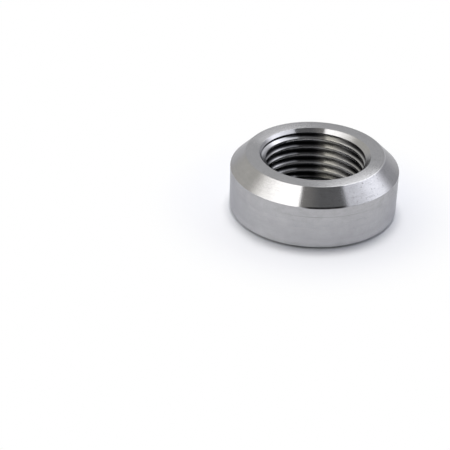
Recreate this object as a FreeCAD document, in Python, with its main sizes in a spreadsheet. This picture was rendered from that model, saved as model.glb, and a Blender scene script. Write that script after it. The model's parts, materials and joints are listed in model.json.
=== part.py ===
import FreeCAD
import Part

import os
import Sketcher

# Weld-in nut for a lambda sensor, turned from stainless steel bar
#
# The nut stands on its base with the broad bevel on top. Its own axis is +Z, and the origin is the
# centre of the base face. Lengths are in millimetres and angles in degrees.
#
# It is made in the order of the lathe work: the blank is turned, then the hole is bored to the
# thread's minor diameter and countersunk at both mouths, and last the sharp rims are broken.
# The thread is metric fine, right hand, through the whole height. The bore's wall is its crest.

SIZES = [
    ("thread_diameter", 18.0, "major diameter of the thread that takes the sensor"),
    ("thread_pitch", 1.5, "rise of the thread in one turn"),
    ("wall_thickness", 5.0, "metal between the thread's major diameter and the outside"),
    ("nut_height", 10.0, "from the base to the face that the sensor's washer seals on"),
    ("bevel_width", 2.5, "how far the bevel round the top runs in from the outside"),
    ("bevel_slope", 45.0, "angle between that bevel and the seal face"),
    ("base_chamfer", 0.4, "chamfer round the foot of the wall, at 45 degrees"),
    ("countersink_margin", 0.25, "how far each mouth is opened past the thread's major radius"),
    ("countersink_angle", 90.0, "full angle of the cone at each mouth"),
    ("rim_radius", 0.1, "rounding that breaks the sharp turned rims"),
]

# Worked out from the sizes. The thread has the 60 degree profile, whose sharp V is sqrt(3) / 2
# pitches deep, and the nut's crest stands 5 / 8 of that depth in from the major diameter.
OUTER_RADIUS = "sizes.thread_diameter / 2 + sizes.wall_thickness"
MINOR_RADIUS = "sizes.thread_diameter / 2 - 5 / 8 * sqrt(3) / 2 * sizes.thread_pitch"
MOUTH_RADIUS = "sizes.thread_diameter / 2 + sizes.countersink_margin"
BEVEL_HEIGHT = "sizes.bevel_width * tan(sizes.bevel_slope * 1deg)"
CONE_DEPTH = f"(({MOUTH_RADIUS}) - ({MINOR_RADIUS})) / tan(sizes.countersink_angle / 2 * 1deg)"

ORIGIN_POINT = (-1, 1)
START, END = 1, 2
SAME_PLACE = 1e-4


def make_sheet(doc):
    sheet = doc.addObject("Spreadsheet::Sheet", "sizes")
    for row, (name, value, meaning) in enumerate(SIZES, start=1):
        sheet.set(f"A{row}", name)
        sheet.set(f"B{row}", str(value))
        sheet.set(f"C{row}", meaning)
        sheet.setAlias(f"B{row}", name)
    doc.recompute()
    return sheet


def work_out(owner, expression):
    """What an expression on the sheet's sizes comes to now, as a plain number."""
    value = owner.evalExpression(expression)
    return float(getattr(value, "Value", value))


def section_sketch(body, name, corners):
    """A closed outline in the XZ plane, from the origin outwards and back down the nut's axis."""
    sketch = body.newObject("Sketcher::SketchObject", name)
    plane = next(part for part in body.Origin.OriginFeatures if part.Role == "XZ_Plane")
    sketch.AttachmentSupport = [(plane, "")]
    sketch.MapMode = "FlatFace"
    points = [FreeCAD.Vector(radius, height, 0) for radius, height in corners]
    count = len(points)
    for i in range(count):
        sketch.addGeometry(Part.LineSegment(points[i], points[(i + 1) % count]), False)
    for i in range(count):
        sketch.addConstraint(Sketcher.Constraint("Coincident", i, END, (i + 1) % count, START))
    sketch.addConstraint(Sketcher.Constraint("Coincident", 0, START, *ORIGIN_POINT))
    return sketch


def level(sketch, *lines):
    for line in lines:
        sketch.addConstraint(Sketcher.Constraint("Horizontal", line))


def upright(sketch, *lines):
    for line in lines:
        sketch.addConstraint(Sketcher.Constraint("Vertical", line))


def dimension(sketch, name, kind, ends, expression):
    """Add a named dimension between two points, and tie it to the sheet."""
    value = work_out(sketch, expression)
    index = sketch.addConstraint(Sketcher.Constraint(kind, *ends, value))
    sketch.renameConstraint(index, name)
    sketch.setExpression(f".Constraints.{name}", expression)


def revolved(body, kind, name, sketch):
    feature = body.newObject(kind, name)
    feature.Profile = sketch
    feature.ReferenceAxis = (sketch, ["V_Axis"])
    feature.Angle = 360
    return feature


def turn_blank(body):
    """The solid blank: base, foot chamfer, straight wall, bevel and seal face."""
    outer = work_out(body, OUTER_RADIUS)
    height = work_out(body, "sizes.nut_height")
    chamfer = work_out(body, "sizes.base_chamfer")
    bevel_width = work_out(body, "sizes.bevel_width")
    bevel_height = work_out(body, BEVEL_HEIGHT)
    corners = [
        (0, 0),
        (outer - chamfer, 0),
        (outer, chamfer),
        (outer, height - bevel_height),
        (outer - bevel_width, height),
        (0, height),
    ]
    sketch = section_sketch(body, "blank_section", corners)
    base, foot, wall, bevel, seal_face, axis = range(len(corners))
    level(sketch, base, seal_face)
    upright(sketch, wall, axis)
    across_foot = (foot, START, foot, END)
    up_bevel = (bevel, START, bevel, END)
    in_along_bevel = (bevel, END, bevel, START)
    dimension(sketch, "outer_radius", "DistanceX", (*ORIGIN_POINT, wall, START), OUTER_RADIUS)
    dimension(sketch, "height", "DistanceY", (*ORIGIN_POINT, axis, START), "sizes.nut_height")
    dimension(sketch, "foot_width", "DistanceX", across_foot, "sizes.base_chamfer")
    dimension(sketch, "foot_height", "DistanceY", across_foot, "sizes.base_chamfer")
    dimension(sketch, "bevel_width", "DistanceX", in_along_bevel, "sizes.bevel_width")
    dimension(sketch, "bevel_height", "DistanceY", up_bevel, BEVEL_HEIGHT)
    return revolved(body, "PartDesign::Revolution", "turned_blank", sketch)


def bore_hole(body):
    """The through hole at the thread's minor diameter, with a cone at the base and at the seal face."""
    mouth = work_out(body, MOUTH_RADIUS)
    minor = work_out(body, MINOR_RADIUS)
    height = work_out(body, "sizes.nut_height")
    depth = work_out(body, CONE_DEPTH)
    corners = [
        (0, 0),
        (mouth, 0),
        (minor, depth),
        (minor, height - depth),
        (mouth, height),
        (0, height),
    ]
    sketch = section_sketch(body, "bore_section", corners)
    base, low_cone, crest, high_cone, seal_face, axis = range(len(corners))
    level(sketch, base, seal_face)
    upright(sketch, crest, axis)
    sketch.addConstraint(Sketcher.Constraint("Equal", base, seal_face))
    sketch.addConstraint(Sketcher.Constraint("Equal", low_cone, high_cone))
    up_cone = (low_cone, START, low_cone, END)
    dimension(sketch, "mouth_radius", "DistanceX", (*ORIGIN_POINT, base, END), MOUTH_RADIUS)
    dimension(sketch, "minor_radius", "DistanceX", (*ORIGIN_POINT, crest, START), MINOR_RADIUS)
    dimension(sketch, "height", "DistanceY", (*ORIGIN_POINT, axis, START), "sizes.nut_height")
    dimension(sketch, "cone_depth", "DistanceY", up_cone, CONE_DEPTH)
    return revolved(body, "PartDesign::Groove", "countersunk_bore", sketch)


def circular_edge(shape, radius, height):
    """The name of the one round edge of this radius at this height."""
    names = [
        f"Edge{number}"
        for number, edge in enumerate(shape.Edges, start=1)
        if isinstance(edge.Curve, Part.Circle)
        and abs(edge.Curve.Radius - radius) < SAME_PLACE
        and abs(edge.Curve.Center.z - height) < SAME_PLACE
    ]
    if len(names) != 1:
        raise RuntimeError(f"{len(names)} edges of radius {radius} at height {height}")
    return names[0]


def break_rims(body, bored):
    """Round off the bevel's two rims and the bore's two mouths."""
    outer = work_out(body, OUTER_RADIUS)
    mouth = work_out(body, MOUTH_RADIUS)
    height = work_out(body, "sizes.nut_height")
    rims = [
        (outer, height - work_out(body, BEVEL_HEIGHT)),
        (outer - work_out(body, "sizes.bevel_width"), height),
        (mouth, height),
        (mouth, 0),
    ]
    rounding = body.newObject("PartDesign::Fillet", "broken_rims")
    rounding.Base = (bored, [circular_edge(bored.Shape, *rim) for rim in rims])
    rounding.setExpression("Radius", "sizes.rim_radius")
    return rounding


def make_sensor_nut(doc):
    body = doc.addObject("PartDesign::Body", "sensor_nut")
    body.Label = "sensor_nut"
    body.Placement = FreeCAD.Placement()
    turn_blank(body)
    doc.recompute()
    blank_volume = body.Shape.Volume
    bored = bore_hole(body)
    doc.recompute()
    if body.Shape.Volume >= blank_volume:
        raise RuntimeError("the bore took no metal away")
    break_rims(body, bored)
    doc.recompute()
    return body


def check_document(doc, parts):
    for item in doc.Objects:
        if "Invalid" in item.State or "Error" in item.State:
            raise RuntimeError(f"{item.Name} did not recompute: {item.State}")
        if item.TypeId == "Sketcher::SketchObject" and not item.FullyConstrained:
            raise RuntimeError(f"{item.Name} can still move")
    for part in parts:
        if part.Shape.isNull() or not part.Shape.isValid() or len(part.Shape.Solids) != 1:
            raise RuntimeError(f"{part.Label} is not one valid solid")


def main():
    doc = FreeCAD.newDocument("lambda_sensor_nut")
    make_sheet(doc)
    parts = [make_sensor_nut(doc)]
    check_document(doc, parts)
    os.makedirs("parts", exist_ok=True)
    for part in parts:
        part.Shape.exportStep(os.path.join("parts", f"{part.Label}.step"))
        box = part.Shape.optimalBoundingBox()
        print(
            f"{part.Label}: {box.XLength:.3f} x {box.YLength:.3f} x {box.ZLength:.3f} mm,",
            f"{part.Shape.Volume:.1f} cubic mm, {len(part.Shape.Faces)} faces",
        )


main()
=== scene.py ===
# Lambda sensor nut: a turned stainless-steel ring with a fine thread through it, on a pale studio floor
#
# Laid out as a Blender add-on and run as a script. Lengths are in metres, in the frame of the CAD part:
# the nut stands on its base at the origin, and its thread runs up +Z.

import json
import math

import bpy
from bpy.props import FloatProperty, FloatVectorProperty, IntProperty, PointerProperty
from mathutils import Matrix, Vector


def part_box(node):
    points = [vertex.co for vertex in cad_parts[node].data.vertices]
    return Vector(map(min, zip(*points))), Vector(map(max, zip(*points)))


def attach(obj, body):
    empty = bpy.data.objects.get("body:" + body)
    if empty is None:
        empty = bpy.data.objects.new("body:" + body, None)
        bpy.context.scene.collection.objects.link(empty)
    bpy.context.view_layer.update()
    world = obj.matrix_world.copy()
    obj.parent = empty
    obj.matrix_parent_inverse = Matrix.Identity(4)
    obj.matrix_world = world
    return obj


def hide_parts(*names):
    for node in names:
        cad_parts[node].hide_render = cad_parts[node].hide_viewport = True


bl_info = {
    "name": "Lambda Sensor Nut",
    "version": (1, 0, 0),
    "blender": (4, 5, 0),
    "location": "3D View > Sidebar > Sensor Nut",
    "description": "Builds a turned and tapped weld-in nut, with its steel finish and a small studio",
    "category": "Add Mesh",
}

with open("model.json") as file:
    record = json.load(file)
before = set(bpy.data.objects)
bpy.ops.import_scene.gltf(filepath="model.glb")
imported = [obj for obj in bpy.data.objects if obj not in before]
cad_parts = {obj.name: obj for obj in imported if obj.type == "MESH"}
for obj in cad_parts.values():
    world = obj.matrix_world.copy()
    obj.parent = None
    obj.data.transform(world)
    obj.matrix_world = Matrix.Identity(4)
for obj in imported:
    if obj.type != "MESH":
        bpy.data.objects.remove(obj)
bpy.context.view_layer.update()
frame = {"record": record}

CAD_NODE = "sensor_nut"
MM = 0.001

nut_low, nut_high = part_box(CAD_NODE)
mounts = {mount["name"]: mount for mount in frame["record"]["mounts"]}


# Sizes, finish and studio that a user would change


class NutSizes(bpy.types.PropertyGroup):
    outer_radius: FloatProperty(
        name="Outer radius",
        description="Radius of the straight wall",
        default=nut_high.x,
        unit="LENGTH",
    )
    height: FloatProperty(
        name="Height",
        description="From the base to the seal face",
        default=nut_high.z,
        unit="LENGTH",
    )
    bevel_width: FloatProperty(
        name="Bevel width",
        description="How far the bevel round the top runs in from the wall",
        default=2.5 * MM,
        unit="LENGTH",
    )
    bevel_height: FloatProperty(
        name="Bevel height",
        description="How far that bevel reaches down the wall",
        default=2.5 * MM,
        unit="LENGTH",
    )
    foot_chamfer: FloatProperty(
        name="Foot chamfer",
        description="Chamfer round the foot of the wall, at 45 degrees",
        default=0.4 * MM,
        unit="LENGTH",
    )
    rim_radius: FloatProperty(
        name="Rim radius",
        description="Rounding that breaks each sharp turned rim",
        default=0.1 * MM,
        unit="LENGTH",
    )
    crest_radius: FloatProperty(
        name="Crest radius",
        description="Radius of the thread's crest, which is the wall of the plain bore",
        default=mounts["thread"]["dims"]["r_mm"] * MM,
        unit="LENGTH",
    )
    thread_radius: FloatProperty(
        name="Thread radius",
        description="Radius at the bottom of the thread's groove",
        default=9.0 * MM,
        unit="LENGTH",
    )
    pitch: FloatProperty(
        name="Pitch",
        description="Rise of the thread in one turn",
        default=1.5 * MM,
        unit="LENGTH",
    )
    thread_rounding: FloatProperty(
        name="Thread rounding",
        description="Rounding of the thread's crest and root corners",
        default=0.06 * MM,
        unit="LENGTH",
    )
    thread_start: FloatProperty(
        name="Thread start",
        description="Height of the groove's centre line where it crosses the +X side",
        default=1.2 * MM,
        unit="LENGTH",
    )
    mouth_margin: FloatProperty(
        name="Mouth margin",
        description="How far each countersink opens past the thread's groove",
        default=0.25 * MM,
        unit="LENGTH",
    )
    countersink_angle: FloatProperty(
        name="Countersink angle",
        description="Full angle of the cone at each mouth",
        default=math.radians(90),
        subtype="ANGLE",
    )
    columns: IntProperty(
        name="Columns",
        description="Steps round the nut",
        default=360,
        min=48,
    )


class SteelFinish(bpy.types.PropertyGroup):
    colour: FloatVectorProperty(
        name="Steel colour",
        description="Colour of the bare stainless steel",
        default=(0.387, 0.387, 0.393),
        subtype="COLOR",
    )
    wall_colour: FloatVectorProperty(
        name="Wall colour",
        description="Colour of the straight wall",
        default=(0.42, 0.42, 0.434),
        subtype="COLOR",
    )
    # Painted highlight: this colour lightens the wall's foot, a line along the bevel's upper rim and the
    # first thread at the left.
    painted_highlight_colour: FloatVectorProperty(
        name="Bright colour",
        description="Colour of the wall's foot, the bevel's worn rim and the first thread at the left",
        default=(0.70, 0.70, 0.71),
        subtype="COLOR",
    )
    # Painted shade: this colour darkens the thread deep in its groove and along its root.
    groove_shade_colour: FloatVectorProperty(
        name="Groove colour",
        description="Colour at the bottom of the thread, where the cutting oil has left its stain",
        default=(0.022, 0.022, 0.024),
        subtype="COLOR",
    )
    # Painted shade: this colour dims the thread at the back and the left, where its highlights are
    # darker.
    crest_shade_colour: FloatVectorProperty(
        name="Crest shade colour",
        description="Colour of the thread's crest where a dark film of oil is left on it",
        default=(0.12, 0.12, 0.122),
        subtype="COLOR",
    )
    # Painted reflection: this brown is painted on the thread at the right, where the painted groove shade
    # is weaker.
    brown_reflection_colour: FloatVectorProperty(
        name="Brown reflection colour",
        description="Colour of the thread on the side where the oil has dried off brown",
        default=(0.325, 0.318, 0.292),
        subtype="COLOR",
    )
    # Painted shade and real marks: this colour paints dark lines along the bevel's lower rim and round
    # the foot, and colours the scratches and specks.
    marks_and_shade_colour: FloatVectorProperty(
        name="Mark colour",
        description="Colour of specks, scratches and the dirt along the bevel's lower rim and the foot",
        default=(0.03, 0.03, 0.03),
        subtype="COLOR",
    )
    streaks: FloatProperty(
        name="Streaks",
        description="How much the tool marks vary the steel's brightness",
        default=0.13,
        subtype="FACTOR",
    )
    clouds: FloatProperty(
        name="Clouds",
        description="How much cloudy patches and grain vary the steel's brightness",
        default=0.15,
        subtype="FACTOR",
    )
    roughness: FloatProperty(
        name="Roughness",
        description="Blur of the finely turned faces",
        default=0.2,
        subtype="FACTOR",
    )
    wall_roughness: FloatProperty(
        name="Wall roughness",
        description="Blur of the straight wall, which is turned less finely",
        default=0.23,
        subtype="FACTOR",
    )
    grazing_tint: FloatVectorProperty(
        name="Grazing tint",
        description="How much of the reflection the steel keeps where it is seen edge on",
        default=(0.70, 0.70, 0.72),
        subtype="COLOR",
    )
    across_marks: FloatProperty(
        name="Blur across the tool marks",
        description="How much more a reflection blurs across the tool marks than along them",
        default=0.97,
        subtype="FACTOR",
    )
    mark_spacing: FloatProperty(
        name="Mark spacing",
        description="Usual distance between two tool marks",
        default=0.12 * MM,
        unit="LENGTH",
    )
    mark_depth: FloatProperty(
        name="Mark depth",
        description="Depth of the tool marks",
        default=0.0012 * MM,
        unit="LENGTH",
    )


class StudioLook(bpy.types.PropertyGroup):
    floor_colour: FloatVectorProperty(
        name="Floor colour",
        description="Colour of the pale floor",
        default=(0.905, 0.93, 0.975),
        subtype="COLOR",
    )
    backdrop_colour: FloatVectorProperty(
        name="Backdrop colour",
        description="Colour that the camera sees behind the floor and far out on it",
        default=(1.0, 1.0, 1.0),
        subtype="COLOR",
    )
    horizon_colour: FloatVectorProperty(
        name="Horizon colour",
        description="Colour of the room just above the floor, as the steel sees it",
        default=(0.95, 0.95, 0.96),
        subtype="COLOR",
    )
    far_left_room_colour: FloatVectorProperty(
        name="Room colour at the far left",
        description="Colour of the pale room at the picture's far left",
        default=(0.825, 0.805, 0.755),
        subtype="COLOR",
    )
    left_room_colour: FloatVectorProperty(
        name="Room colour at the left",
        description="Colour of the pale room from the picture's left to its middle",
        default=(0.815, 0.815, 0.82),
        subtype="COLOR",
    )
    right_room_colour: FloatVectorProperty(
        name="Room colour at the right",
        description="Colour of the pale room at the picture's right",
        default=(0.60, 0.60, 0.64),
        subtype="COLOR",
    )
    front_left_colour: FloatVectorProperty(
        name="Room colour at the front left",
        description="Colour of the dim side of the room, above and behind the camera, at its left",
        default=(0.34, 0.325, 0.31),
        subtype="COLOR",
    )
    front_right_colour: FloatVectorProperty(
        name="Room colour at the front right",
        description="Colour of that dim side at its right",
        default=(0.15, 0.15, 0.155),
        subtype="COLOR",
    )
    fill_colour: FloatVectorProperty(
        name="Fill colour",
        description="Cool colour that the room's light takes on where it falls on the floor",
        default=(0.45, 0.6, 0.95),
        subtype="COLOR",
    )
    camera_place: FloatVectorProperty(
        name="Camera place",
        description="Where the camera stands",
        default=(-14.665 * MM, -194.73 * MM, 112.8 * MM),
        subtype="TRANSLATION",
    )
    camera_tilt: FloatProperty(
        name="Camera tilt",
        description="How far the camera looks down",
        default=math.radians(31.006),
        subtype="ANGLE",
    )
    camera_roll: FloatProperty(
        name="Camera roll",
        description="How far the camera leans to its left",
        default=math.radians(1.17),
        subtype="ANGLE",
    )
    lens: FloatProperty(
        name="Lens",
        description="Focal length on a 36 mm wide sensor, in millimetres",
        default=106.5,
    )


# Writing node trees


class NodeWriter:
    """Adds nodes to a tree. An input is given as a value or as another node's output."""

    def __init__(self, tree):
        self.tree = tree

    def add(self, kind, inputs=(), **settings):
        node = self.tree.nodes.new(kind)
        for name, value in settings.items():
            setattr(node, name, value)
        pairs = inputs.items() if isinstance(inputs, dict) else enumerate(inputs)
        for key, value in pairs:
            self.feed(node.inputs[key], value)
        return node

    def feed(self, socket, value):
        if isinstance(value, bpy.types.NodeSocket):
            self.tree.links.new(value, socket)
        else:
            socket.default_value = value

    def math(self, operation, *values):
        return self.add("ShaderNodeMath", values, operation=operation).outputs[0]

    def point(self, x, y, z):
        return self.add("ShaderNodeCombineXYZ", (x, y, z)).outputs[0]

    def parts(self, vector):
        return self.add("ShaderNodeSeparateXYZ", (vector,)).outputs

    def clamp(self, value, low, high):
        return self.add("ShaderNodeClamp", (value, low, high)).outputs[0]

    def blend(self, share, a, b):
        return self.math("MULTIPLY_ADD", self.math("SUBTRACT", b, a), share, a)


# The nut, as a rule


LENGTH_INPUTS = (
    "Outer Radius",
    "Height",
    "Bevel Width",
    "Bevel Height",
    "Foot Chamfer",
    "Rim Radius",
    "Crest Radius",
    "Thread Radius",
    "Pitch",
    "Thread Rounding",
    "Thread Start",
    "Mouth Radius",
)
RIM_STEPS = 4
THREAD_ROUNDING_STEPS = 2
CORNERS_PER_TURN = 4
SPARE_TURNS = 3
TURNS_BELOW_BASE = 2
MERGE_DISTANCE = 2e-6
CRISP_ANGLE = math.radians(40)
LARGEST_FACES_LEAD = 100
FLANK_RISE = math.tan(math.radians(30))
ROOT_SHARE = 1 / 8


def nut_tree():
    tree = bpy.data.node_groups.new("turned_and_tapped_nut", "GeometryNodeTree")
    tree.is_modifier = True
    for name in LENGTH_INPUTS:
        socket = tree.interface.new_socket(name, in_out="INPUT", socket_type="NodeSocketFloat")
        socket.subtype = "DISTANCE"
    tree.interface.new_socket("Cone Slope", in_out="INPUT", socket_type="NodeSocketFloat")
    tree.interface.new_socket("Columns", in_out="INPUT", socket_type="NodeSocketInt")
    tree.interface.new_socket("Turns", in_out="INPUT", socket_type="NodeSocketInt")
    tree.interface.new_socket("Steel", in_out="INPUT", socket_type="NodeSocketMaterial")
    tree.interface.new_socket("Nut", in_out="OUTPUT", socket_type="NodeSocketGeometry")
    write = NodeWriter(tree)
    size = write.add("NodeGroupInput").outputs
    shell = turned_shell(write, size)
    bore = tapped_bore(write, size)
    joined = write.add("GeometryNodeJoinGeometry")
    for surface in (shell, bore):
        tree.links.new(surface, joined.inputs[0])
    merged = write.add(
        "GeometryNodeMergeByDistance",
        {"Geometry": joined.outputs[0], "Distance": MERGE_DISTANCE},
    )
    smooth = write.add("GeometryNodeSetShadeSmooth", (merged.outputs[0],))
    fold = write.add("GeometryNodeInputMeshEdgeAngle").outputs["Unsigned Angle"]
    crisp = write.add(
        "GeometryNodeSetShadeSmooth",
        {
            "Geometry": smooth.outputs[0],
            "Selection": write.math("GREATER_THAN", fold, CRISP_ANGLE),
            "Shade Smooth": False,
        },
        domain="EDGE",
    )
    realized = write.add("GeometryNodeRealizeInstances", (crisp.outputs[0],))
    steel = write.add(
        "GeometryNodeSetMaterial",
        {"Geometry": realized.outputs[0], "Material": size["Steel"]},
    )
    write.add("NodeGroupOutput", (steel.outputs[0],))
    return tree


def picked(write, index, choices):
    """The choice whose number is the index."""
    switch = write.add("GeometryNodeIndexSwitch", data_type="VECTOR")
    while len(switch.index_switch_items) < len(choices):
        switch.index_switch_items.new()
    for socket, value in zip(switch.inputs, (index, *choices)):
        write.feed(socket, value)
    return switch.outputs[0]


def rounded_section(write, count, places, rounding, steps):
    """A line of this many corners, each at its place and then rounded."""
    line = write.add("GeometryNodeCurvePrimitiveLine")
    corners = write.add("GeometryNodeResampleCurve", {"Curve": line.outputs[0], "Count": count})
    placed = write.add(
        "GeometryNodeSetPosition",
        {"Geometry": corners.outputs[0], "Position": places},
    )
    fillet = write.add(
        "GeometryNodeFilletCurve",
        {"Curve": placed.outputs[0], "Count": steps, "Radius": rounding, "Limit Radius": True},
        mode="POLY",
    )
    return fillet.outputs[0]


def sheet_round_axis(write, columns, rows):
    """A flat grid to bend round the axis, and each point's share of the turn and its row."""
    grid = write.add(
        "GeometryNodeMeshGrid",
        {
            "Size X": 1.0,
            "Size Y": 1.0,
            "Vertices X": write.math("ADD", columns, 1),
            "Vertices Y": rows,
        },
    )
    place = write.parts(write.add("GeometryNodeInputPosition").outputs[0])
    turn_share = write.math("SUBTRACT", 0.5, place["X"])
    last_row = write.math("SUBTRACT", rows, 1)
    row = write.math("ROUND", write.math("MULTIPLY", write.math("ADD", place["Y"], 0.5), last_row))
    return grid.outputs[0], turn_share, row


def place_round_axis(write, turn_share, radius, height):
    angle = write.math("MULTIPLY", turn_share, 2 * math.pi)
    x = write.math("MULTIPLY", radius, write.math("COSINE", angle))
    y = write.math("MULTIPLY", radius, write.math("SINE", angle))
    return write.point(x, y, height)


def sample_point(write, curve, index):
    """Radius and height of one point of a section curve."""
    position = write.add("GeometryNodeInputPosition").outputs[0]
    sample = write.add("GeometryNodeSampleIndex", data_type="FLOAT_VECTOR", clamp=True)
    write.feed(sample.inputs["Geometry"], curve)
    write.feed(sample.inputs["Value"], position)
    write.feed(sample.inputs["Index"], index)
    parts = write.parts(sample.outputs[0])
    return parts["X"], parts["Z"]


def point_count(write, curve):
    size = write.add("GeometryNodeAttributeDomainSize", (curve,), component="CURVE")
    return size.outputs["Point Count"]


def bent_sheet(write, sheet, turn_share, radius, height):
    """The sheet moved to its places round the axis."""
    places = place_round_axis(write, turn_share, radius, height)
    bent = write.add("GeometryNodeSetPosition", {"Geometry": sheet, "Position": places})
    return bent.outputs[0]


def turned_shell(write, size):
    """Everything turned outside: from the upper mouth over the wall to the lower mouth."""
    inner = write.math(
        "SUBTRACT",
        size["Mouth Radius"],
        write.math("MULTIPLY", size["Rim Radius"], size["Cone Slope"]),
    )
    corners = [
        (inner, write.math("SUBTRACT", size["Height"], size["Rim Radius"])),
        (size["Mouth Radius"], size["Height"]),
        (write.math("SUBTRACT", size["Outer Radius"], size["Bevel Width"]), size["Height"]),
        (size["Outer Radius"], write.math("SUBTRACT", size["Height"], size["Bevel Height"])),
        (size["Outer Radius"], size["Foot Chamfer"]),
        (write.math("SUBTRACT", size["Outer Radius"], size["Foot Chamfer"]), 0.0),
        (size["Mouth Radius"], 0.0),
        (inner, size["Rim Radius"]),
    ]
    places = [write.point(radius, 0.0, height) for radius, height in corners]
    index = write.add("GeometryNodeInputIndex").outputs[0]
    corner = picked(write, index, places)
    section = rounded_section(write, len(places), corner, size["Rim Radius"], RIM_STEPS)
    rows = point_count(write, section)
    sheet, turn_share, row = sheet_round_axis(write, size["Columns"], rows)
    radius, height = sample_point(write, section, row)
    return bent_sheet(write, sheet, turn_share, radius, height)


def thread_section(write, size):
    """The thread's zigzag from below the base to above the seal face, four corners to a turn."""
    root_half = write.math("MULTIPLY", size["Pitch"], ROOT_SHARE / 2)
    depth = write.math("SUBTRACT", size["Thread Radius"], size["Crest Radius"])
    flank_rise = write.math("MULTIPLY", depth, FLANK_RISE)
    crest_half = write.math("ADD", root_half, flank_rise)
    corners = [
        write.point(size["Crest Radius"], 0.0, write.math("MULTIPLY", crest_half, -1)),
        write.point(size["Thread Radius"], 0.0, write.math("MULTIPLY", root_half, -1)),
        write.point(size["Thread Radius"], 0.0, root_half),
        write.point(size["Crest Radius"], 0.0, crest_half),
    ]
    index = write.add("GeometryNodeInputIndex").outputs[0]
    turn = write.math("FLOOR", write.math("DIVIDE", index, CORNERS_PER_TURN))
    corner = write.math("MODULO", index, CORNERS_PER_TURN)
    count = write.math("MULTIPLY", size["Turns"], CORNERS_PER_TURN)
    rise = write.math("MULTIPLY", write.math("SUBTRACT", turn, TURNS_BELOW_BASE), size["Pitch"])
    lift = write.point(0.0, 0.0, write.math("ADD", rise, size["Thread Start"]))
    place = write.add(
        "ShaderNodeVectorMath",
        (picked(write, corner, corners), lift),
        operation="ADD",
    ).outputs[0]
    return rounded_section(write, count, place, size["Thread Rounding"], THREAD_ROUNDING_STEPS)


def cone_radius(write, size, height):
    """Radius of the nearer countersink's cone at a height."""
    from_top = write.math("SUBTRACT", size["Height"], height)
    depth = write.math("MINIMUM", height, from_top)
    narrowing = write.math("MULTIPLY", depth, size["Cone Slope"])
    return write.math("SUBTRACT", size["Mouth Radius"], narrowing)


def tapped_bore(write, size):
    """The thread, trimmed by the cone at each mouth.

    Each stretch of the thread's section has its two ends and, between them, the point where it crosses
    a cone. What lies inside a cone is pushed out to it, so the thread's edge is sharp where it runs out.
    """
    section = thread_section(write, size)
    points = point_count(write, section)
    rows = write.math("SUBTRACT", write.math("MULTIPLY", points, 2), 1)
    sheet, turn_share, row = sheet_round_axis(write, size["Columns"], rows)
    first = write.math("FLOOR", write.math("DIVIDE", row, 2))
    between = write.math("MODULO", row, 2)
    radius_a, flat_height_a = sample_point(write, section, first)
    radius_b, flat_height_b = sample_point(write, section, write.math("ADD", first, 1))
    lead = write.math("MULTIPLY", turn_share, size["Pitch"])
    height_a = write.math("ADD", flat_height_a, lead)
    height_b = write.math("ADD", flat_height_b, lead)
    over_a = write.math("SUBTRACT", radius_a, cone_radius(write, size, height_a))
    over_b = write.math("SUBTRACT", radius_b, cone_radius(write, size, height_b))
    crossing = write.math("DIVIDE", over_a, write.math("SUBTRACT", over_a, over_b))
    share = write.math("MULTIPLY", write.clamp(crossing, 0.0, 1.0), between)
    thread_height = write.blend(share, height_a, height_b)
    thread_radius = write.blend(share, radius_a, radius_b)
    top = write.math("SUBTRACT", size["Height"], size["Rim Radius"])
    height = write.clamp(thread_height, size["Rim Radius"], top)
    radius = write.math("MAXIMUM", thread_radius, cone_radius(write, size, height))
    return bent_sheet(write, sheet, turn_share, radius, height)


def set_inputs(modifier, values):
    """Set a geometry modifier's inputs, given by name, through their identifiers."""
    for item in modifier.node_group.interface.items_tree:
        if item.item_type == "SOCKET" and item.in_out == "INPUT":
            modifier[item.identifier] = values[item.name]


def plain_mesh(piece):
    """Replace a piece's live modifiers with their result."""
    graph = bpy.context.evaluated_depsgraph_get()
    mesh = bpy.data.meshes.new_from_object(
        piece.evaluated_get(graph), preserve_all_data_layers=True, depsgraph=graph
    )
    piece.modifiers.clear()
    piece.data = mesh
    mesh.name = piece.name


def make_nut(sizes, steel):
    piece = bpy.data.objects.new("tapped_nut", bpy.data.meshes.new("tapped_nut"))
    bpy.context.scene.collection.objects.link(piece)
    modifier = piece.modifiers.new("turned and tapped", "NODES")
    modifier.node_group = nut_tree()
    set_inputs(
        modifier,
        {
            "Outer Radius": sizes.outer_radius,
            "Height": sizes.height,
            "Bevel Width": sizes.bevel_width,
            "Bevel Height": sizes.bevel_height,
            "Foot Chamfer": sizes.foot_chamfer,
            "Rim Radius": sizes.rim_radius,
            "Crest Radius": sizes.crest_radius,
            "Thread Radius": sizes.thread_radius,
            "Pitch": sizes.pitch,
            "Thread Rounding": sizes.thread_rounding,
            "Thread Start": sizes.thread_start,
            "Mouth Radius": sizes.thread_radius + sizes.mouth_margin,
            "Cone Slope": math.tan(sizes.countersink_angle / 2),
            "Columns": sizes.columns,
            "Turns": math.ceil(sizes.height / sizes.pitch) + SPARE_TURNS,
            "Steel": steel,
        },
    )
    weighted = piece.modifiers.new("even shading", "WEIGHTED_NORMAL")
    weighted.mode = "FACE_AREA"
    weighted.weight = LARGEST_FACES_LEAD
    weighted.keep_sharp = True
    plain_mesh(piece)
    return piece


# The steel's finish


# A pair of values is where a ramp starts and where it ends. A side is the X or Y of the direction from
# the axis, so it runs from -1 to 1.

TANGENT_ROUND_AXIS = 0.25
TOOL_MARKS_ROUND = 1.0
NOISE_MIDDLE = 0.5

# Painted shade deep in the thread and dimming it at the back and left, a painted brown reflection at its
# right, and a painted highlight on its first turn at the left

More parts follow.
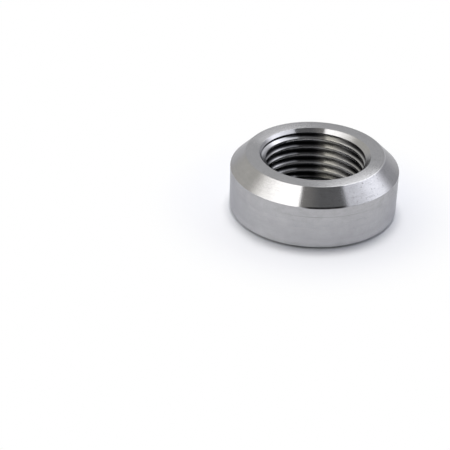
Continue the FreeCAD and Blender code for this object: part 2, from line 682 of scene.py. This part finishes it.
GROOVE_STARTS = 0.08
GROOVE_DARKEST = 0.5
ROOT_STARTS = 0.8
ROOT_DARKEST = 0.95
ROOT_LINE = 0.7
UNDER_METAL = (-0.5 * MM, -0.1 * MM)
UNDER_METAL_LEFT = (0.0, 0.1 * MM)
BELOW_CONE = (0.15 * MM, 0.3 * MM)
THREAD_EDGE = 0.03 * MM
BROWN_SIDE_FROM = (0.02, 0.26)
BROWN_SIDE_TO = (0.38, 0.82)
BROWN_SIDE_SHADE = 0.12
CREST_SHADE_FADES_RIGHT = (0.5, 0.85)
CREST_SHADE_FADES_LEFT = (0.5, 0.8)
OPENED_LEFT_SIDE = (0.35, 0.6)
OPENED_CREST_SHADE = 0.4
OPENED_HIGHLIGHT_LEFT = (0.6, 0.8)

# The wall, a painted highlight and sheen at its foot, and a painted highlight along the bevel's upper rim

WALL_EDGE = 0.05 * MM
FOOT_BRIGHT = (0.45 * MM, 0.8 * MM)
FOOT_SHEEN = (0.5 * MM, 2.1 * MM)
FOOT_SHEEN_SHARE = 0.5
RIM_HIGHLIGHT = (0.06 * MM, 0.15 * MM)
RIM_HIGHLIGHT_SIDE = (-0.1, 0.1)
RIM_HIGHLIGHT_SHARE = 0.38

# Painted shade along the bevel's lower rim and round the foot, a witness line on the wall, scratches and
# specks

FRONT_SIDE = (-0.6, 0.2)
MARKED_SIDE = (-0.1, 0.2)
MARKS_MIDDLE = 0.08
RIM_SHADE = (0.12 * MM, 0.2 * MM)
RIM_SHADE_UP = 0.04 * MM
RIM_SHADE_SIDES = (0.17, 0.28)
FOOT_SHADE = (0.1 * MM, 0.3 * MM)
FOOT_SHADE_SHARE = 0.75
WITNESS_BELOW_BEVEL = 1.6 * MM
WITNESS_LINE = (0.03 * MM, 0.1 * MM)
WITNESS_SIDES = (0.3, 0.6)
WITNESS_SHARE = 0.16
BREAK_SPACING = 0.3 * MM
BREAKS_ROUND = 22.0
BREAKS = (0.35, 0.6)
LEAST_UNBROKEN = 0.8
MARK_DETAIL = 1.0
SCRATCH_SPACING = 0.1 * MM
SCRATCH_PATCH_SPACING = 1.5 * MM
SCRATCHES_ROUND = 4.0
SCRATCHES = (0.59, 0.65)
SCRATCH_PATCHES = (0.5, 0.6)
SCRATCH_SHARE = 0.4
WALL_SCRATCH_SHARE = 0.1
SPECK_SIZE = 0.3 * MM
SPECKS = (0.66, 0.72)
SPECK_SHARE = 0.4

# Streaks and clouds

STREAK_SPACING = 0.09 * MM
STREAKS_ROUND = 1.6
STREAK_DETAIL = 4.0
GRAIN_SIZE = 0.24 * MM
GRAIN_DETAIL = 3.0
FINE_ROUGHNESS = 0.7
CLOUD_SIZE = 1.5 * MM
CLOUDS_OFF_WALL = 0.7


class RingPlace:
    """Where a shaded point is, as the lathe sees it: radius, height and direction from the axis."""

    def __init__(self, write):
        self.write = write
        self.place = write.add("ShaderNodeTexCoord").outputs["Object"]
        parts = write.parts(self.place)
        flat = write.point(parts["X"], parts["Y"], 0.0)
        self.height = parts["Z"]
        self.radius = write.add("ShaderNodeVectorMath", (flat,), operation="LENGTH").outputs["Value"]
        around = write.add("ShaderNodeVectorMath", (flat,), operation="NORMALIZE").outputs[0]
        self.around = write.parts(around)

    def noise(self, spacing, around_scale, detail=3.0, roughness=0.6):
        """Noise in rings: it changes over this spacing across them, and this often round them."""
        write = self.write
        across = 1 / spacing
        point = write.point(
            write.math("MULTIPLY", self.around["X"], around_scale),
            write.math("MULTIPLY", self.around["Y"], around_scale),
            write.math("MULTIPLY", self.radius, across),
        )
        inputs = {
            "Vector": point,
            "W": write.math("MULTIPLY", self.height, across),
            "Scale": 1.0,
            "Detail": detail,
            "Roughness": roughness,
        }
        return write.add("ShaderNodeTexNoise", inputs, noise_dimensions="4D").outputs["Fac"]

    def cloud(self, size, detail=4.0, roughness=0.6):
        """Noise in patches of about this size, the same in all directions."""
        inputs = {"Vector": self.place, "Scale": 1 / size, "Detail": detail, "Roughness": roughness}
        return self.write.add("ShaderNodeTexNoise", inputs).outputs["Fac"]

    def near(self, radius, height, band):
        """1 on the ring of this radius and height, and 0 further off than the band."""
        write = self.write
        out = write.math("SUBTRACT", self.radius, radius)
        up = write.math("SUBTRACT", self.height, height)
        away = write.add("ShaderNodeVectorMath", (write.point(out, up, 0.0),), operation="LENGTH")
        return opposite(write, ramp(write, away.outputs["Value"], *band))


def ramp(write, value, low, high):
    """0 below low and 1 above high, with a smooth rise between."""
    inputs = {"Value": value, "From Min": low, "From Max": high, "To Min": 0.0, "To Max": 1.0}
    node = write.add("ShaderNodeMapRange", inputs, interpolation_type="SMOOTHSTEP")
    return node.outputs["Result"]


def opposite(write, share):
    return write.math("SUBTRACT", 1.0, share)


def combined(write, operation, shares):
    result, *others = shares
    for share in others:
        result = write.math(operation, result, share)
    return result


def all_of(write, *shares):
    """1 where every one of the shares is 1."""
    return combined(write, "MULTIPLY", shares)


def any_of(write, *shares):
    """1 where one of the shares is 1."""
    return combined(write, "MAXIMUM", shares)


def mixed_colour(write, share, a, b):
    node = write.add("ShaderNodeMix", data_type="RGBA")
    colour_a, colour_b = (socket for socket in node.inputs if socket.type == "RGBA")
    write.feed(node.inputs["Factor"], share)
    write.feed(colour_a, a)
    write.feed(colour_b, b)
    return next(socket for socket in node.outputs if socket.type == "RGBA")


def depth_share(write, ring, sizes, starts, ends):
    """0 up to one share of the thread's depth and 1 from another one on."""
    depth = sizes.thread_radius - sizes.crest_radius
    low, high = (sizes.crest_radius + share * depth for share in (starts, ends))
    return ramp(write, ring.radius, low, high)


def cone_depth(write, ring, sizes):
    """How far down from its mouth a countersink's cone is at the point's radius."""
    from_mouth = write.math("SUBTRACT", sizes.thread_radius + sizes.mouth_margin, ring.radius)
    return write.math("DIVIDE", from_mouth, math.tan(sizes.countersink_angle / 2))


def thread_shares(write, ring, sizes, left):
    """Two shares: in the thread with metal above, and in the part of it that a cone has opened.

    Both are 0 on every turned face.
    """
    ceiling = write.math("SUBTRACT", sizes.height, cone_depth(write, ring, sizes))
    below = write.math("SUBTRACT", ceiling, ring.height)
    inside = all_of(
        write,
        write.math("LESS_THAN", ring.radius, sizes.thread_radius + THREAD_EDGE),
        write.math("GREATER_THAN", below, THREAD_EDGE),
    )
    past_crest = write.math("SUBTRACT", sizes.thread_radius, ring.radius)
    flanks = write.math("MULTIPLY", past_crest, 2 * FLANK_RISE)
    opening = write.math("ADD", flanks, sizes.pitch * ROOT_SHARE)
    above = write.math("SUBTRACT", below, opening)
    covered = write.blend(
        ramp(write, left, *OPENED_LEFT_SIDE),
        ramp(write, above, *UNDER_METAL),
        ramp(write, above, *UNDER_METAL_LEFT),
    )
    opened = all_of(write, ramp(write, below, *BELOW_CONE), opposite(write, covered))
    return all_of(write, inside, covered), all_of(write, inside, opened)


def threaded_colour(write, ring, sizes, finish, colour):
    """The steel's colour with painted shade deep in the thread and dimming it, weaker at the right where
    a brown reflection is painted, and a painted highlight on the first turn at the left.
    """
    x = ring.around["X"]
    left = write.math("MULTIPLY", x, -1)
    covered, opened = thread_shares(write, ring, sizes, left)
    right = ramp(write, x, *BROWN_SIDE_FROM)
    brown_side = all_of(write, right, opposite(write, ramp(write, x, *BROWN_SIDE_TO)))
    # Painted shade that dims the thread, fading out at the far left and towards the right.
    covered_crest_shade = all_of(
        write,
        covered,
        opposite(write, brown_side),
        opposite(write, ramp(write, left, *CREST_SHADE_FADES_LEFT)),
        opposite(write, ramp(write, x, *CREST_SHADE_FADES_RIGHT)),
    )
    opened_crest_shade = all_of(
        write,
        opened,
        opposite(write, right),
        opposite(write, ramp(write, left, *OPENED_LEFT_SIDE)),
        OPENED_CREST_SHADE,
    )
    groove = depth_share(write, ring, sizes, GROOVE_STARTS, GROOVE_DARKEST)
    root = depth_share(write, ring, sizes, ROOT_STARTS, ROOT_DARKEST)
    # Painted shade deep in the groove, weaker on the brown side, and a painted dark line at the root.
    groove_shade = all_of(write, covered, groove, write.blend(brown_side, 1.0, BROWN_SIDE_SHADE))
    stain = any_of(write, groove_shade, all_of(write, covered, root, ROOT_LINE))
    # A painted highlight on the first opened turn at the left, and a painted brown reflection on the
    # brown side.
    bright = all_of(write, opened, ramp(write, left, *OPENED_HIGHLIGHT_LEFT))
    dried = all_of(write, write.math("ADD", covered, opened), brown_side)
    for share, coat in (
        (bright, finish.painted_highlight_colour),
        (dried, finish.brown_reflection_colour),
        (any_of(write, covered_crest_shade, opened_crest_shade), finish.crest_shade_colour),
        (stain, finish.groove_shade_colour),
    ):
        colour = mixed_colour(write, share, colour, (*coat, 1.0))
    return colour


def wall_share(write, ring, sizes):
    return write.math("GREATER_THAN", ring.radius, sizes.outer_radius - WALL_EDGE)


def outside_share(write, ring, sizes):
    """1 on the wall and on the chamfer at its foot."""
    chamfer_starts = sizes.outer_radius - sizes.foot_chamfer
    return write.math("GREATER_THAN", ring.radius, chamfer_starts - WALL_EDGE)


def walled_colour(write, ring, sizes, finish, wall):
    """The colour of the turned faces, with the wall's own tone, a painted highlight and sheen at its foot
    and a painted highlight on the bevel's upper rim.
    """
    colour = mixed_colour(write, wall, (*finish.colour, 1.0), (*finish.wall_colour, 1.0))
    # Painted highlight: a bright line and a sheen low on the wall and on its foot chamfer.
    bright = opposite(write, ramp(write, ring.height, *FOOT_BRIGHT))
    sheen = all_of(write, opposite(write, ramp(write, ring.height, *FOOT_SHEEN)), FOOT_SHEEN_SHARE)
    foot = all_of(write, outside_share(write, ring, sizes), any_of(write, bright, sheen))
    # Painted highlight along the bevel's upper rim, on the right half.
    rim = ring.near(sizes.outer_radius - sizes.bevel_width, sizes.height, RIM_HIGHLIGHT)
    highlit = all_of(write, rim, ramp(write, ring.around["X"], *RIM_HIGHLIGHT_SIDE), RIM_HIGHLIGHT_SHARE)
    return mixed_colour(write, any_of(write, foot, highlit), colour, (*finish.painted_highlight_colour, 1.0))


def marks_and_shade_mask(write, ring, sizes, wall):
    """1 where painted shade or a mark shows: painted shade at the lower rim and the foot, a witness line,
    scratches or specks.
    """
    front = opposite(write, ramp(write, ring.around["Y"], *FRONT_SIDE))
    marked = ramp(write, ring.around["X"], *MARKED_SIDE)
    aside = write.math("ABSOLUTE", write.math("SUBTRACT", ring.around["X"], MARKS_MIDDLE))
    wall_top = sizes.height - sizes.bevel_height
    breaks = ramp(write, ring.noise(BREAK_SPACING, BREAKS_ROUND), *BREAKS)
    unbroken = write.blend(breaks, LEAST_UNBROKEN, 1.0)
    # Painted shade: a dark line along the bevel's lower rim, at the front.
    rim = all_of(
        write,
        ring.near(sizes.outer_radius - RIM_SHADE_UP, wall_top + RIM_SHADE_UP, RIM_SHADE),
        front,
        opposite(write, ramp(write, aside, *RIM_SHADE_SIDES)),
        unbroken,
    )
    # Painted shade: a dark line round the foot.
    foot = all_of(
        write,
        outside_share(write, ring, sizes),
        opposite(write, ramp(write, ring.height, *FOOT_SHADE)),
        FOOT_SHADE_SHARE,
    )
    from_line = write.math("SUBTRACT", ring.height, wall_top - WITNESS_BELOW_BEVEL)
    witness = all_of(
        write,
        opposite(write, ramp(write, write.math("ABSOLUTE", from_line), *WITNESS_LINE)),
        wall,
        front,
        opposite(write, ramp(write, aside, *WITNESS_SIDES)),
        unbroken,
        WITNESS_SHARE,
    )
    scratches = all_of(
        write,
        ramp(write, ring.noise(SCRATCH_SPACING, SCRATCHES_ROUND, MARK_DETAIL), *SCRATCHES),
        ramp(write, ring.noise(SCRATCH_PATCH_SPACING, SCRATCHES_ROUND, MARK_DETAIL), *SCRATCH_PATCHES),
        write.blend(wall, all_of(write, marked, front, SCRATCH_SHARE), WALL_SCRATCH_SHARE),
    )
    specks = all_of(
        write,
        ramp(write, ring.cloud(SPECK_SIZE, MARK_DETAIL), *SPECKS),
        opposite(write, wall),
        marked,
        front,
        SPECK_SHARE,
    )
    return any_of(write, rim, foot, witness, scratches, specks)


def brightness(write, ring, finish, wall):
    """The factor by which streaks and clouds lighten or darken the steel."""
    streaks = ring.noise(STREAK_SPACING, STREAKS_ROUND, STREAK_DETAIL, FINE_ROUGHNESS)
    grain = ring.cloud(GRAIN_SIZE, GRAIN_DETAIL, FINE_ROUGHNESS)
    streak, fine, broad = (
        write.math("SUBTRACT", noise, NOISE_MIDDLE)
        for noise in (streaks, grain, ring.cloud(CLOUD_SIZE))
    )
    on_wall = write.blend(wall, CLOUDS_OFF_WALL, 1.0)
    clouds = all_of(write, write.math("ADD", broad, fine), on_wall, 2 * finish.clouds)
    lines = all_of(write, streak, 2 * finish.streaks)
    return write.math("ADD", 1.0, write.math("ADD", lines, clouds))


def turned_steel(finish, sizes):
    """Bare stainless steel with fine tool marks round the axis, painted shade and a painted brown
    reflection in the thread, and painted highlights and shade at its rims and foot.
    """
    material = bpy.data.materials.new("turned_steel")
    material.use_nodes = True
    tree = material.node_tree
    tree.nodes.clear()
    write = NodeWriter(tree)
    ring = RingPlace(write)
    marks = ring.noise(finish.mark_spacing, TOOL_MARKS_ROUND)
    bump = write.add(
        "ShaderNodeBump",
        {"Height": marks, "Strength": 1.0, "Distance": finish.mark_depth},
    ).outputs[0]
    tangent = write.add("ShaderNodeTangent", direction_type="RADIAL", axis="Z").outputs[0]
    wall = wall_share(write, ring, sizes)
    with_highlights = walled_colour(write, ring, sizes, finish, wall)
    varied = write.add(
        "ShaderNodeHueSaturation",
        {"Color": with_highlights, "Value": brightness(write, ring, finish, wall)},
    ).outputs[0]
    # Painted shade, highlight and brown reflection in the thread, then painted shade lines at the rim and
    # foot along with real scratches, specks and a witness line.
    thread_painted = threaded_colour(write, ring, sizes, finish, varied)
    marks_and_shade_share = marks_and_shade_mask(write, ring, sizes, wall)
    marked = mixed_colour(write, marks_and_shade_share, thread_painted, (*finish.marks_and_shade_colour, 1.0))
    steel = write.add(
        "ShaderNodeBsdfPrincipled",
        {
            "Base Color": marked,
            "Metallic": 1.0,
            "Roughness": write.blend(wall, finish.roughness, finish.wall_roughness),
            "Specular Tint": (*finish.grazing_tint, 1.0),
            "Anisotropic": finish.across_marks,
            "Anisotropic Rotation": TANGENT_ROUND_AXIS,
            "Normal": bump,
            "Tangent": tangent,
        },
    )
    write.add("ShaderNodeOutputMaterial", {"Surface": steel.outputs[0]})
    return material


# The studio

# A pair of values is where a ramp starts and where it ends. For the backdrop it is a distance from the
# nut's axis, and for the room it is the X, Y or Z of a direction.

LAMP_DISTANCE = 2.0
FLOOR_REACH = 6.0
FLOOR_DROP = 0.005 * MM
BACKDROP_FROM = (15 * MM, 29 * MM)
ROOM_FAR_LEFT = (-0.65, -0.35)
ROOM_LEFT_TO_RIGHT = (-0.1, 0.85)
ROOM_FRONT_LEFT_TO_RIGHT = (-0.2, 0.12)
ROOM_FRONT_TO_BACK = (-0.25, 0.15)
ROOM_LOW_FRONT = (0.42, 0.68)
ROOM_HORIZON = (-0.02, 0.035)
FILL_SHARE = 0.12
WHITE = (1.0, 1.0, 1.0)
WARM_WHITE = (1.0, 0.965, 0.92)
COOL_WHITE = (0.92, 0.94, 1.04)
PALE_COOL_WHITE = (0.98, 0.99, 1.04)
OVERHEAD_TINT = (1.05, 1.005, 0.96)
EVEN = ((0, 1), (1, 1))
SENSOR_WIDTH = 36
NEAREST_SEEN = 10 * MM


def direction(azimuth, elevation):
    """A unit vector. Azimuth 0 is towards the camera's side and grows to the right of the picture."""
    a = math.radians(azimuth)
    e = math.radians(elevation)
    return Vector((math.sin(a) * math.cos(e), -math.cos(a) * math.cos(e), math.sin(e)))


def facing_nut(place):
    """Turns -Z of a lamp at this place towards the nut, with its own X level."""
    return Matrix.Translation(place) @ (-place).to_track_quat("-Z", "Y").to_matrix().to_4x4()


def softbox(name, place, spread, brightness, colours, fade=EVEN, soft_foot=None):
    """A soft lamp that looks this bright in a mirror, because its power follows from its size.

    place is its azimuth, its elevation and how far it leans to the left, and spread is how wide and how
    high it looks, all in degrees and as seen from the nut. colours are those of its left and right edges,
    and fade gives its brightness from the left edge, at 0, to the right one, at 1. soft_foot is the share
    of its height over which it fades out towards its lower edge.
    """
    azimuth, elevation, lean = place
    width, height = (2 * LAMP_DISTANCE * math.tan(math.radians(angle) / 2) for angle in spread)
    lamp = bpy.data.lights.new(name, "AREA")
    lamp.shape = "RECTANGLE"
    lamp.size = width
    lamp.size_y = height
    lamp.energy = brightness * math.pi * width * height
    lamp.use_nodes = True
    tree = lamp.node_tree
    tree.nodes.clear()
    write = NodeWriter(tree)
    on_lamp = write.parts(write.add("ShaderNodeNewGeometry").outputs["Parametric"])
    curve = write.add("ShaderNodeFloatCurve", {"Value": on_lamp["X"]})
    points = curve.mapping.curves[0].points
    while len(points) < len(fade):
        points.new(0.5, 0.5)
    for point, across_and_strength in zip(points, fade):
        point.location = across_and_strength
    curve.mapping.update()
    strength = curve.outputs[0]
    if soft_foot:
        strength = all_of(write, strength, ramp(write, on_lamp["Y"], 0.0, soft_foot))
    left, right = ((*colour, 1.0) for colour in colours)
    colour = mixed_colour(write, on_lamp["X"], left, right)
    light = write.add("ShaderNodeEmission", {"Color": colour, "Strength": strength})
    write.add("ShaderNodeOutputLight", {"Surface": light.outputs[0]})
    holder = bpy.data.objects.new(name, lamp)
    tip = Matrix.Rotation(math.radians(-lean), 4, "Z")
    holder.matrix_world = facing_nut(direction(azimuth, elevation) * LAMP_DISTANCE) @ tip
    bpy.context.scene.collection.objects.link(holder)
    return holder


def seen_share(write, *kinds):
    """1 for rays of these kinds and 0 for all others."""
    rays = write.add("ShaderNodeLightPath").outputs
    return any_of(write, *(rays[kind] for kind in kinds))


def floor_material(look):
    """Pale and matt round the nut, and the backdrop's white further out."""
    material = bpy.data.materials.new("pale_floor")
    material.use_nodes = True
    tree = material.node_tree
    pale = tree.nodes["Principled BSDF"]
    pale.inputs["Base Color"].default_value = (*look.floor_colour, 1.0)
    pale.inputs["Roughness"].default_value = 1.0
    pale.inputs["Specular IOR Level"].default_value = 0.0
    write = NodeWriter(tree)
    place = write.add("ShaderNodeTexCoord").outputs["Object"]
    away = write.add("ShaderNodeVectorMath", (place,), operation="LENGTH").outputs["Value"]
    white = write.add("ShaderNodeEmission", {"Color": (*look.backdrop_colour, 1.0)}).outputs[0]
    seen = seen_share(write, "Is Camera Ray", "Is Glossy Ray", "Is Transmission Ray")
    share = all_of(write, seen, ramp(write, away, *BACKDROP_FROM))
    mixed = write.add("ShaderNodeMixShader", (share, pale.outputs[0], white)).outputs[0]
    tree.links.new(mixed, tree.nodes["Material Output"].inputs["Surface"])
    return material


def make_floor(look):
    """A floor just below the nut's base that holds its shadow."""
    turns = ((-1, -1), (1, -1), (1, 1), (-1, 1))
    corners = [(x * FLOOR_REACH, y * FLOOR_REACH, -FLOOR_DROP) for x, y in turns]
    mesh = bpy.data.meshes.new("floor")
    mesh.from_pydata(corners, [], [(0, 1, 2, 3)])
    mesh.materials.append(floor_material(look))
    floor = bpy.data.objects.new("floor", mesh)
    bpy.context.scene.collection.objects.link(floor)
    return floor


def light_room(look):
    """A pale room: warm at the left, cooler at the right, dim above the camera, white at the horizon.

    Its light falls from the sides and the back alone: the pale low front shows in the steel and lights
    nothing, so the floor keeps the nut's shadow.
    """
    world = bpy.data.worlds.new("pale_room")
    world.use_nodes = True
    write = NodeWriter(world.node_tree)
    background = world.node_tree.nodes["Background"]
    way = write.parts(write.add("ShaderNodeTexCoord").outputs["Generated"])
    far_left, left, right, front_left, front_right, horizon, fill, backdrop = (
        (*colour, 1.0)
        for colour in (
            look.far_left_room_colour,
            look.left_room_colour,
            look.right_room_colour,
            look.front_left_colour,
            look.front_right_colour,
            look.horizon_colour,
            look.fill_colour,
            look.backdrop_colour,
        )
    )
    tone = mixed_colour(write, ramp(write, way["X"], *ROOM_FAR_LEFT), far_left, left)
    tone = mixed_colour(write, ramp(write, way["X"], *ROOM_LEFT_TO_RIGHT), tone, right)
    filled = all_of(write, seen_share(write, "Is Diffuse Ray"), FILL_SHARE)
    tone = mixed_colour(write, filled, tone, fill)
    to_right = ramp(write, way["X"], *ROOM_FRONT_LEFT_TO_RIGHT)
    front = mixed_colour(write, to_right, front_left, front_right)
    in_front = opposite(write, ramp(write, way["Y"], *ROOM_FRONT_TO_BACK))
    low = opposite(write, ramp(write, way["Z"], *ROOM_LOW_FRONT))
    pale_low = all_of(write, seen_share(write, "Is Glossy Ray"), low)
    tone = mixed_colour(write, all_of(write, in_front, opposite(write, pale_low)), tone, front)
    tone = mixed_colour(write, ramp(write, way["Z"], *ROOM_HORIZON), horizon, tone)
    tone = mixed_colour(write, seen_share(write, "Is Camera Ray"), tone, backdrop)
    write.feed(background.inputs["Color"], tone)
    bpy.context.scene.world = world


def set_lamps():
    """Softboxes that show in the steel, and one lamp overhead that lights the floor alone."""
    left = softbox(
        "left_softbox",
        place=(-70.4, 46.6, 38),
        spread=(48, 54.5),
        brightness=3.3,
        colours=(WARM_WHITE, WHITE),
        fade=((0, 0), (0.22, 0.16), (0.38, 0.52), (0.55, 1), (1, 1)),
    )
    right = softbox(
        "right_softbox",
        place=(94.9, 34.1, -40.6),
        spread=(57.3, 63.6),
        brightness=2.65,
        colours=(COOL_WHITE, PALE_COOL_WHITE),
        fade=(
            (0, 0.016),
            (0.21, 0.14),
            (0.41, 0.165),
            (0.49, 0.475),
            (0.53, 0.84),
            (0.57, 1),
            (0.66, 0.95),
            (0.75, 0.75),
            (0.83, 0.25),
            (1, 0.05),
        ),
        soft_foot=0.5,
    )
    back = softbox(
        "back_softbox",
        place=(156, 45.2, 0),
        spread=(24, 23.6),
        brightness=2.6,
        colours=(WHITE, WHITE),
        fade=((0, 0.1), (0.25, 0.3), (0.6, 1), (1, 1)),
    )
    for lamp in (left, right, back):
        lamp.visible_diffuse = False
    overhead = softbox(
        "overhead_lamp",
        place=(176, 78, 0),
        spread=(19, 17),
        brightness=17.0,
        colours=(OVERHEAD_TINT, OVERHEAD_TINT),
    )
    overhead.visible_glossy = False


def set_camera(look):
    camera = bpy.data.objects.new("camera", bpy.data.cameras.new("camera"))
    camera.data.lens = look.lens
    camera.data.sensor_width = SENSOR_WIDTH
    camera.data.clip_start = NEAREST_SEEN
    down = Matrix.Rotation(math.radians(90) - look.camera_tilt, 4, "X")
    roll = Matrix.Rotation(look.camera_roll, 4, "Z")
    camera.matrix_world = Matrix.Translation(look.camera_place) @ down @ roll
    bpy.context.scene.collection.objects.link(camera)
    bpy.context.scene.camera = camera


# Operators, panel and the run


class SENSORNUT_OT_nut(bpy.types.Operator):
    """Build the nut with its thread, in steel"""

    bl_idname = "sensor_nut.nut"
    bl_label = "Turned and Tapped Nut"

    def execute(self, context):
        sizes = context.scene.nut_sizes
        nut = make_nut(sizes, turned_steel(context.scene.nut_finish, sizes))
        if len(nut.data.polygons) == 0:
            raise RuntimeError("the nut came out empty")
        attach(nut, "root")
        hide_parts(CAD_NODE)
        return {"FINISHED"}


class SENSORNUT_OT_studio(bpy.types.Operator):
    """Set up the floor, the lamps, the room and the camera"""

    bl_idname = "sensor_nut.studio"
    bl_label = "Studio"

    def execute(self, context):
        look = context.scene.nut_studio
        make_floor(look)
        light_room(look)
        set_lamps()
        set_camera(look)
        context.scene.view_settings.view_transform = "Standard"
        return {"FINISHED"}


class SENSORNUT_PT_sidebar(bpy.types.Panel):
    bl_idname = "SENSORNUT_PT_sidebar"
    bl_label = "Lambda Sensor Nut"
    bl_space_type = "VIEW_3D"
    bl_region_type = "UI"
    bl_category = "Sensor Nut"

    def draw(self, context):
        layout = self.layout
        for group in (context.scene.nut_sizes, context.scene.nut_finish, context.scene.nut_studio):
            column = layout.column(align=True)
            for name in group.__annotations__:
                column.prop(group, name)
        layout.operator(SENSORNUT_OT_nut.bl_idname)
        layout.operator(SENSORNUT_OT_studio.bl_idname)


CLASSES = (
    NutSizes,
    SteelFinish,
    StudioLook,
    SENSORNUT_OT_nut,
    SENSORNUT_OT_studio,
    SENSORNUT_PT_sidebar,
)


def register():
    for one in CLASSES:
        bpy.utils.register_class(one)
    bpy.types.Scene.nut_sizes = PointerProperty(type=NutSizes)
    bpy.types.Scene.nut_finish = PointerProperty(type=SteelFinish)
    bpy.types.Scene.nut_studio = PointerProperty(type=StudioLook)


def unregister():
    del bpy.types.Scene.nut_studio
    del bpy.types.Scene.nut_finish
    del bpy.types.Scene.nut_sizes
    for one in reversed(CLASSES):
        bpy.utils.unregister_class(one)


def main():
    register()
    bpy.ops.sensor_nut.nut()
    bpy.ops.sensor_nut.studio()


if __name__ == "__main__":
    main()
